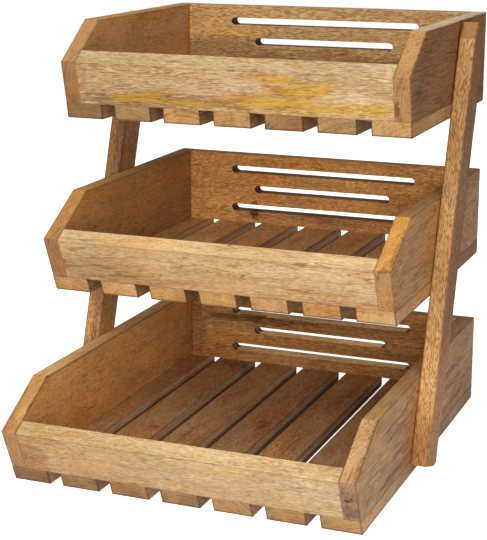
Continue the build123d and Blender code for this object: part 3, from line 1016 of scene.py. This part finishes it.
for tray in trays:
    foot = front_corners(tray)[0]
    heads = []
    for number in range(1, slat_count + 1):
        low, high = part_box(f"{tray}_slat_{number}")
        for y in (foot.y + edge_inset, back_face[0].y - edge_inset - screw_radius):
            head = screw.copy()
            head.data = screw.data.copy()
            bpy.context.scene.collection.objects.link(head)
            head.location = ((low.x + high.x) / 2, y, low.z - screw_proud + head_depth / 2)
            head.rotation_euler.z = draw.uniform(0.0, math.pi)
            heads.append(head)
    bpy.ops.object.select_all(action="DESELECT")
    for head in heads:
        head.select_set(True)
    bpy.context.view_layer.objects.active = heads[0]
    bpy.ops.object.transform_apply(location=True, rotation=True, scale=True)
    bpy.ops.object.join()
    screws = bpy.context.object
    screws.name = f"{tray}_slat_screws"
    screws.data.materials.clear()
    screws.data.materials.append(zinc)
    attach(screws, "root")
bpy.data.objects.remove(screw)


# Uprights: two flat bars of lighter, flecked hardwood that lean back outside the trays and carry all three.
# Each is bevelled at its head and rounded at its heel and along its inner edges. Two hidden dowels join it
# to each tray's side.

def below(material, height, fade):
    """Mask of what lies under a height, fading in over a distance. A fade below 0 gives what lies above."""
    return beyond(material, Vector((0.0, 0.0, height)), down, 0.0, fade)


upright_tan = screen(169, 122, 66)
upright_pith = (0.03, 0.03)
upright_slope = (1.0, 1.0)
along_bar = (math.degrees(upright_lean), 90.0, 0.0)
head_across = 0.010
head_along = 0.020
head_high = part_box("right_upright")[1].z
bar_up = Vector((0.0, math.sin(upright_lean), math.cos(upright_lean)))
bar_back = -upright_front[1]
bar_length = (head_high - toe.z - head_across * bar_back.z) / bar_up.z
head_top = toe + bar_back * head_across + bar_up * bar_length
head_face = (head_top, (bar_up * head_across - bar_back * head_along).normalized())
head_tint = (0.77, 0.63, 0.39)
inner_light_shade = {"left": (1.04, 1.12, 1.20), "right": (0.78, 0.87, 0.98)}
inner_round = (-0.0034, -0.0026)
outer_shade_and_sheen = (0.65, 0.60, 0.62)
outer_middle = (0.97, 0.78, 0.52)
outer_low_light = (1.70, 2.15, 2.90)
front_skin = (-0.0055, -0.0035)
lower_painted_light = {"left": (1.72, 2.05, 2.90), "right": (1.42, 1.56, 1.84)}
foot_tint = (0.62, 0.51, 0.41)
left_front = (0.82, 0.70, 0.58)
left_front_inner = (0.66, 0.60, 0.58)
left_above_tray = (0.78, 0.66, 0.66)
inner_strip = (-0.012, -0.008)
bar_arris = (-0.0018, -0.0010)
outer_middle_zone = (0.33, 0.10)
outer_low_zone = (0.18, 0.10)
front_low_zone = (0.22, 0.10)
foot_zone = (0.11, 0.08)
above_tray_top = (0.35, 0.03)
above_tray_foot = (0.25, -0.02)
for hand, sign in (("left", -1.0), ("right", 1.0)):
    upright = f"{hand}_upright"
    low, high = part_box(upright)
    outer = (high if sign > 0 else low, Vector((sign, 0.0, 0.0)))
    inner = (low if sign > 0 else high, Vector((-sign, 0.0, 0.0)))
    from_pith = (draw.uniform(*along_log),) + upright_pith
    wood = timber(upright, along_bar, from_pith, upright_slope, upright_tan, quiet=(head_face,), calm=2.5,
                  flecks=0.75, clouds=0.5, hairs=0.1, glints=0.2, threads=0.3, length=0.8, rings=0.05)
    face_tint(wood, head_face, head_tint)
    # Painted shade and sheen: the outer face is darker and greyer than the front.
    face_tint(wood, outer, outer_shade_and_sheen)
    on_outer = on_face(wood, outer)
    cover(wood, both(wood, on_outer, below(wood, *outer_middle_zone)), outer_middle)
    # Painted light: the outer face is lightened again low down, fully below 0.08 m.
    cover(wood, both(wood, on_outer, below(wood, *outer_low_zone)), outer_low_light)
    # Painted light and shade on the inner face: lighter and greyer on the left upright, darker and greyer on
    # the right one.
    face_tint(wood, inner, inner_light_shade[hand])
    on_front_face = beyond(wood, *upright_front, *front_skin)
    if hand == "left":
        # Painted shade on the left upright: its inner rounding between the middle and top trays, its front
        # face, more so along the front's inner edge.
        on_inner = beyond(wood, *inner, *inner_round)
        above_tray = both(wood, on_inner, below(wood, *above_tray_top), below(wood, *above_tray_foot))
        cover(wood, above_tray, left_above_tray)
        cover(wood, on_front_face, left_front)
        cover(wood, both(wood, on_front_face, beyond(wood, *inner, *inner_strip)), left_front_inner)
        # Painted shade: a dark line along the left upright's outer front arris.
        near_front = beyond(wood, *upright_front, *bar_arris)
        cover(wood, both(wood, beyond(wood, *outer, *bar_arris), near_front), edge_wear_and_shade)
    # Painted light: the front faces are lightened low down, fully below 0.12 m.
    cover(wood, both(wood, on_front_face, below(wood, *front_low_zone)), lower_painted_light[hand])
    cover(wood, both(wood, on_front_face, below(wood, *foot_zone)), foot_tint)
    finish(upright, wood)
    dowels = f"{hand}_upright_dowels"
    from_pith = (draw.uniform(*along_log),) + hidden_pith
    finish(dowels, timber(dowels, grain_along_x, from_pith, hidden_slope, hidden_tan))


# Floor and studio: a plain white floor that looks like paper to the camera, in a faintly lit white room.
# Six square softboxes hang round the stand: five in front and above, and a weak one behind it.

floor_size = 12.0
floor_low = -0.0004
floor_white = (0.8, 0.8, 0.8, 1.0)
floor_glow = 0.93
room_white = (1.0, 1.0, 1.0, 1.0)
room_light = 0.1
bpy.ops.object.select_all(action="DESELECT")
bpy.ops.mesh.primitive_plane_add(size=floor_size, location=(0.0, 0.0, floor_low))
floor = bpy.context.object
floor.name = "floor"
paint = bpy.data.materials.new("white_floor")
paint.use_nodes = True
tree = paint.node_tree
tree.nodes.clear()
seen = put(tree, "LightPath", {}).outputs["Is Camera Ray"]
matt = put(tree, "BsdfDiffuse", {"Color": floor_white})
glow = put(tree, "Emission", {"Color": room_white, "Strength": calc(tree, "MULTIPLY", seen, floor_glow)})
lit = put(tree, "AddShader", {0: matt.outputs[0], 1: glow.outputs[0]})
put(tree, "OutputMaterial", {"Surface": lit.outputs[0]})
floor.data.materials.append(paint)

world = bpy.data.worlds.new("studio")
bpy.context.scene.world = world
world.use_nodes = True
tree = world.node_tree
tree.nodes.clear()
seen = put(tree, "LightPath", {}).outputs["Is Camera Ray"]
strength = calc(tree, "MULTIPLY_ADD", seen, 1.0 - room_light, room_light)
sky = put(tree, "Background", {"Color": room_white, "Strength": strength})
put(tree, "OutputWorld", {"Surface": sky.outputs[0]})

aim = Vector((0.0, 0.0, 0.24))
lamp_size = 1.3
lamp_distance = 2.4


def softbox(name, azimuth, height, power):
    """A square lamp that faces the stand, at an azimuth from the front and a height, both in degrees."""
    lamp = bpy.data.lights.new(name, "AREA")
    lamp.size = lamp_size
    lamp.energy = power
    place = bpy.data.objects.new(name, lamp)
    bpy.context.scene.collection.objects.link(place)
    turn = math.radians(azimuth)
    rise = math.radians(height)
    way = Vector((math.sin(turn) * math.cos(rise), -math.cos(turn) * math.cos(rise), math.sin(rise)))
    place.location = aim + way * lamp_distance
    place.rotation_euler = way.to_track_quat("Z", "Y").to_euler()
    place.visible_camera = False
    return place


softbox("front", azimuth=0.0, height=30.0, power=20.8)
softbox("low_right", azimuth=35.0, height=10.0, power=29.7)
softbox("high_right", azimuth=35.0, height=55.0, power=12.5)
softbox("high_left", azimuth=-35.0, height=55.0, power=9.3)
softbox("overhead", azimuth=0.0, height=85.0, power=16.4)
softbox("behind", azimuth=180.0, height=8.0, power=8.0).visible_glossy = False


# Camera: a long lens in front of the stand, to its right and above it, looking a little down on the trays.
# It sees the stand as the photograph does.

camera_place = (0.6119, -1.5489, 0.6303)
camera_down = 14.325
camera_turn = 22.07
camera = bpy.data.objects.new("camera", bpy.data.cameras.new("camera"))
bpy.context.scene.collection.objects.link(camera)
camera.location = camera_place
camera.rotation_euler = (math.radians(90.0 - camera_down), 0.0, math.radians(camera_turn))
camera.data.sensor_width = 36.0
camera.data.lens = 99.87
bpy.context.scene.camera = camera
bpy.context.scene.view_settings.view_transform = "Standard"
